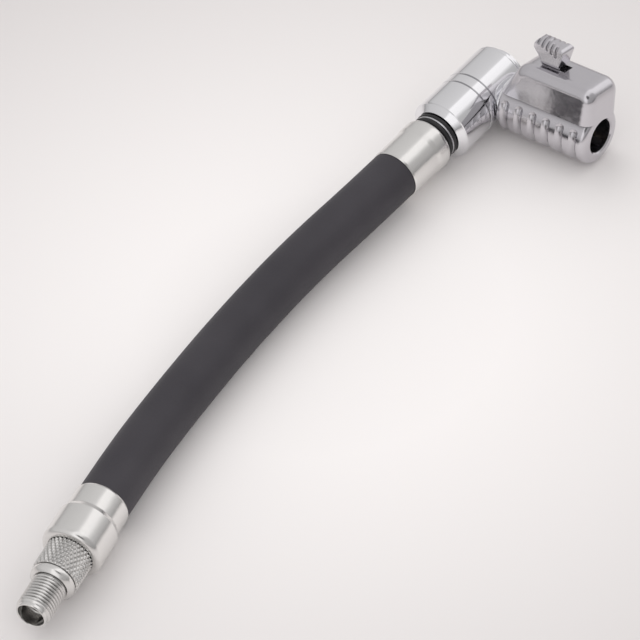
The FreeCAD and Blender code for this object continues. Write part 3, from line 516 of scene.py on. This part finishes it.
inlet_rows = [
    *plain_rows((13.8, 3.6), (13.8, 5.05)),
    *rows_between(KNURL_FROM, KNURL_TO, KNURL_RADIUS, "knurl", KNURL_PITCH / ROWS_PER_KNURL),
    *plain_rows((22.35, 4.95), (22.4, 4.72), (22.6, 4.7), (22.68, 4.94), (22.8, 5.0), (23.6, 5.0)),
    *plain_rows((23.75, 4.93), (24.3, 4.2), (24.4, 4.05), (24.42, 3.6), (24.5, 3.53), (24.8, 3.53)),
    *rows_between(THREAD_FROM, THREAD_TO, THREAD_RADIUS, "thread", THREAD_PITCH / ROWS_PER_THREAD),
    *plain_rows((32.2, 3.62), (32.4, 3.46), (33.05, 3.45), (33.2, 3.33), (33.2, 3.08), (33.1, 3.0)),
    *plain_rows((29.95, 3.0), (29.85, 2.6), (26.75, 2.6), (26.7, 1.6), (15.0, 1.6), (15.0, 3.6)),
]
inlet = sweep_round(
    "inlet",
    inlet_middle,
    inlet_axis,
    [(distance - THREAD_MIDDLE, radius, kind) for distance, radius, kind in inlet_rows],
    INLET_STEPS,
    inlet_radius,
)
finish_piece(inlet, "threaded_nipple", "hose_line", "satin_nickel", INLET_SHARP_DEGREES)

# %% [markdown]
# ## Rubber rings
#
# Each sealing ring is a torus. In CAD its section is an octagon, which is enough to seal and to
# collide. The visible ring takes its middle, radius and section from the node's own box, and is
# swept smooth.

# %% Round off the sealing rings
SWIVEL_AXIS = Vector((0, 1, 0))
CHUCK_AXIS = Vector((1, 0, 0))
RING_SECTION_STEPS = 20
RING_STEPS = 96
SOFT_SHARP_DEGREES = 60


def smooth_ring(node, axis):
    low, high = (Vector(corner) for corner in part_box(node))
    along, across = (0, 1) if axis.x else (1, 0)
    section = (high - low)[along] / 2 / MM
    reach = (high - low)[across] / 2 / MM
    rows = []
    for step in range(RING_SECTION_STEPS):
        angle = 2 * math.pi * step / RING_SECTION_STEPS
        radius = reach - section + section * math.cos(angle)
        rows.append((section * math.sin(angle), radius, "plain"))
    ring = sweep_round("smooth_" + node, (low + high) / 2, axis, rows, RING_STEPS)
    finish_piece(ring, node, body_of[node], "black_rubber", SOFT_SHARP_DEGREES)


for ring_node in ("swivel_oring_outer", "swivel_oring_inner", "stem_oring"):
    smooth_ring(ring_node, SWIVEL_AXIS)
smooth_ring("neck_oring", CHUCK_AXIS)

# %% [markdown]
# ## The cast thumb slide
#
# The slide is a small casting, and plating rounds every edge of it. CAD keeps its edges sharp.
# A copy of its mesh is remeshed into small even faces, and a few rounds of smoothing then take
# the sharpness away without moving its faces. The copy rides with the slide's own body.

# %% Soften the thumb slide
SLIDE_VOXEL = 0.09
SLIDE_SMOOTHING = 7
SMOOTHING_SHARE = 0.5
NO_SHARP_EDGES = 180


def soften_casting(node, voxel, rounds):
    piece = bpy.data.objects.new("cast_" + node, NODES[node].data.copy())
    bpy.context.scene.collection.objects.link(piece)
    remesh = piece.modifiers.new("even_faces", "REMESH")
    remesh.mode = "VOXEL"
    remesh.voxel_size = voxel * MM
    smooth = piece.modifiers.new("rounded_edges", "SMOOTH")
    smooth.factor = SMOOTHING_SHARE
    smooth.iterations = rounds
    bpy.context.view_layer.update()
    evaluated = piece.evaluated_get(bpy.context.evaluated_depsgraph_get())
    softened = bpy.data.meshes.new_from_object(evaluated)
    piece.modifiers.clear()
    piece.data = softened
    softened.materials.clear()
    finish_piece(piece, node, body_of[node], slot_of[node], NO_SHARP_EDGES)


soften_casting("thumb_slide", SLIDE_VOXEL, SLIDE_SMOOTHING)

# %% [markdown]
# ## Springs under the jaw
#
# Two tiny springs lift the jaw when the thumb slide is pulled back. CAD has them as plain tubes.
# Here each one is a wire that climbs in a helix from its foot.

# %% Wind the jaw springs
SPRING_OUTSIDE = 0.55
SPRING_WIRE = 0.11
SPRING_TURNS = 5
STEPS_PER_TURN = 24
WIRE_STEPS = 8


def wire_faces(rings):
    """Faces of a closed wire whose section repeats at each of its rings."""
    last = (rings - 1) * WIRE_STEPS
    faces = [tuple(range(WIRE_STEPS)), tuple(reversed(range(last, last + WIRE_STEPS)))]
    for near in range(0, last, WIRE_STEPS):
        far = near + WIRE_STEPS
        for turn in range(WIRE_STEPS):
            after = (turn + 1) % WIRE_STEPS
            faces.append((near + turn, far + turn, far + after, near + after))
    return faces


def wind_spring(node, down, travel):
    low, high = (Vector(corner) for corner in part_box(node))
    slant = math.hypot(down.x, down.y)
    length = ((high - low).z - 2 * SPRING_OUTSIDE * MM * slant) / abs(down.z)
    foot = (low + high) / 2 + down * (length / 2)
    across = down.orthogonal().normalized()
    upright = down.cross(across)
    coil = (SPRING_OUTSIDE - SPRING_WIRE) * MM
    climb = length - 2 * SPRING_WIRE * MM
    count = SPRING_TURNS * STEPS_PER_TURN
    points = []
    for step in range(count + 1):
        angle = 2 * math.pi * step / STEPS_PER_TURN
        outward = across * math.cos(angle) + upright * math.sin(angle)
        middle = foot - down * (SPRING_WIRE * MM + climb * step / count) + outward * coil
        for turn in range(WIRE_STEPS):
            around = 2 * math.pi * turn / WIRE_STEPS
            section = outward * math.cos(around) + down * math.sin(around)
            points.append(middle + section * SPRING_WIRE * MM)
    spring = closed_piece("wound_" + node, points, wire_faces(count + 1))
    finish_piece(spring, node, "head", "spring_steel", SOFT_SHARP_DEGREES)
    1 - travel / length
    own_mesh(spring)


jaw_joint = joints["jaw_clamp"]
jaw_down = Vector(jaw_joint["axis"]).normalized()
jaw_travel = max(jaw_joint["range_m"])
for spring_node in ("jaw_spring_front", "jaw_spring_rear"):
    wind_spring(spring_node, jaw_down, jaw_travel)

# %% [markdown]
# ## The hose
#
# A rubber hose this thick bends only gently. It is one smooth spline with a round section. Its
# points are those that the CAD route uses, so the visible hose lies where the solid one does.

# %% Lay the hose
HOSE_RADIUS = 6.0 * MM
HOSE_ROUTE_FROM_ELBOW = [
    (0.0, -24.0, 7.6),
    (0.0, -44.6, 7.6),
    (-1.6, -68.0, 6.6),
    (-0.7, -93.0, 6.25),
    (2.0, -118.0, 6.3),
    (5.85, -141.0, 6.95),
    (10.64, -161.4, 6.95),
]
hose_points = [elbow_corner + Vector(point) * MM for point in HOSE_ROUTE_FROM_ELBOW]
hose_curve = bpy.data.curves.new("rubber_hose", "CURVE")
hose_curve.dimensions = "3D"
hose_curve.bevel_depth = HOSE_RADIUS
hose_curve.bevel_resolution = 12
hose_curve.use_fill_caps = True
spline = hose_curve.splines.new("NURBS")
spline.points.add(len(hose_points) - 1)
for point, place in zip(spline.points, hose_points):
    point.co = (*place, 1)
spline.order_u = 3
spline.use_endpoint_u = True
spline.resolution_u = 24
hose = bpy.data.objects.new("rubber_hose", hose_curve)
bpy.context.scene.collection.objects.link(hose)
hose_curve.materials.append(FINISHES["hose_rubber"])
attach(hose, "hose_line")
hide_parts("hose")

# %% [markdown]
# ## The floor
#
# A product like this is photographed on a white sweep of paper. The floor is one plain sheet
# with a painted pool of light: its colour is brightest under the middle of the picture and falls
# off towards its corners. That middle is a fixed point of the floor, so the painted bright patch
# stays where it is in other views.

# %% Lay the paper sweep
FLOOR_HALF = 2.0
FLOOR_CORNERS = [(-1, -1), (1, -1), (1, 1), (-1, 1)]
PAINTED_POOL_REACH = 0.17
PAINTED_POOL_STOPS = [(0.25, (0.93, 0.905, 0.895)), (1.0, (0.62, 0.595, 0.59))]


def make_floor(pool_centre):
    mesh = bpy.data.meshes.new("floor")
    corners = [(x * FLOOR_HALF, y * FLOOR_HALF, 0) for x, y in FLOOR_CORNERS]
    mesh.from_pydata(corners, [], [(0, 1, 2, 3)])
    floor = bpy.data.objects.new("floor", mesh)
    bpy.context.scene.collection.objects.link(floor)
    shader = Shader("paper_with_painted_pool", roughness=0.9)
    measure = {"operation": "DISTANCE"}
    # Painted light: the paper's colour is brightest at the pool's middle and darker with distance from it.
    away = shader.node("ShaderNodeVectorMath", measure, shader.place(), tuple(pool_centre), out=1)
    tone = shader.node("ShaderNodeValToRGB", {"stops": PAINTED_POOL_STOPS}, away / PAINTED_POOL_REACH)
    shader.surface(Base_Color=tone)
    floor.data.materials.append(shader.material)


painted_pool_middle = camera.location + view * (camera.location.z / -view.z)
make_floor(painted_pool_middle)
print("floor middle", [round(v, 3) for v in painted_pool_middle])

# %% [markdown]
# ## The lamps
#
# Two large soft lamps shape the shadows. Chrome would show them as hard white squares, so they
# are kept out of its reflections, which come from the tent in the next step.

# %% Hang the lamps
KEY_WATTS = 3.0
FILL_WATTS = 1.0


def make_lamp(name, place, size, power):
    """A soft square lamp that is aimed at the middle of the floor."""
    lamp_data = bpy.data.lights.new(name, "AREA")
    lamp_data.shape = "RECTANGLE"
    lamp_data.size = size
    lamp_data.size_y = size
    lamp_data.energy = power
    lamp = bpy.data.objects.new(name, lamp_data)
    lamp.location = place
    lamp.rotation_euler = (-Vector(place)).to_track_quat("-Z", "Y").to_euler()
    lamp.visible_glossy = False
    bpy.context.scene.collection.objects.link(lamp)
    print(name, power, "W")


make_lamp("key_softbox", (-0.7, 0.6, 1.0), 0.9, KEY_WATTS)
make_lamp("fill_softbox", (0.9, -0.5, 0.9), 0.8, FILL_WATTS)

# %% [markdown]
# ## The tent
#
# What chrome shows is the tent of white cloth round the table. The world gets its own picture
# for glossy rays: a bright panel on one side, greyer walls, a darker skirt near the floor, and
# a dark gap where the photographer stands. Every other ray meets one plain, even light.

# %% Raise the tent
AMBIENT = 0.9
TENT_COLOUR = (1.0, 0.985, 0.985)
WALL_STOPS = [(0.0, 0.6), (0.44, 0.72), (0.5, 0.76), (0.54, 1.12), (0.72, 1.05), (0.8, 0.55), (1.0, 0.4)]
SKIRT_STOPS = [(0.0, 0.55), (0.12, 0.85), (0.3, 1.0), (0.85, 1.0), (1.0, 0.9)]
GAP_STARTS = 0.955
GAP_FULL = 0.985
GAP_TONE = 0.12


def make_tent(gap_direction):
    world = bpy.data.worlds.new("light_tent")
    bpy.context.scene.world = world
    world.use_nodes = True
    tent = Graph(world.node_tree)
    direction = tent.node("ShaderNodeTexCoord", None, out=0)
    sideways = tent.node("ShaderNodeSeparateXYZ", None, direction, out=0)
    height = tent.node("ShaderNodeSeparateXYZ", None, direction, out=2)
    walls = tent.node("ShaderNodeValToRGB", {"stops": WALL_STOPS}, sideways * 0.5 + 0.5)
    skirt = tent.node("ShaderNodeValToRGB", {"stops": SKIRT_STOPS}, height)
    measure = {"operation": "DOT_PRODUCT"}
    facing = tent.node("ShaderNodeVectorMath", measure, direction, tuple(gap_direction), out=1)
    soft_edge = {"interpolation_type": "SMOOTHSTEP"}
    gap = tent.node("ShaderNodeMapRange", soft_edge, facing, GAP_STARTS, GAP_FULL, 1.0, GAP_TONE)
    glossy = tent.node("ShaderNodeLightPath", None, out=3)
    background = world.node_tree.nodes["Background"]
    background.inputs["Color"].default_value = opaque(TENT_COLOUR)
    reflected = walls * skirt * gap
    tent.feed(background.inputs["Strength"], glossy * reflected + (1 - glossy) * AMBIENT)


make_tent(-view)
bpy.context.scene.view_settings.view_transform = "Standard"
print("studio ready")
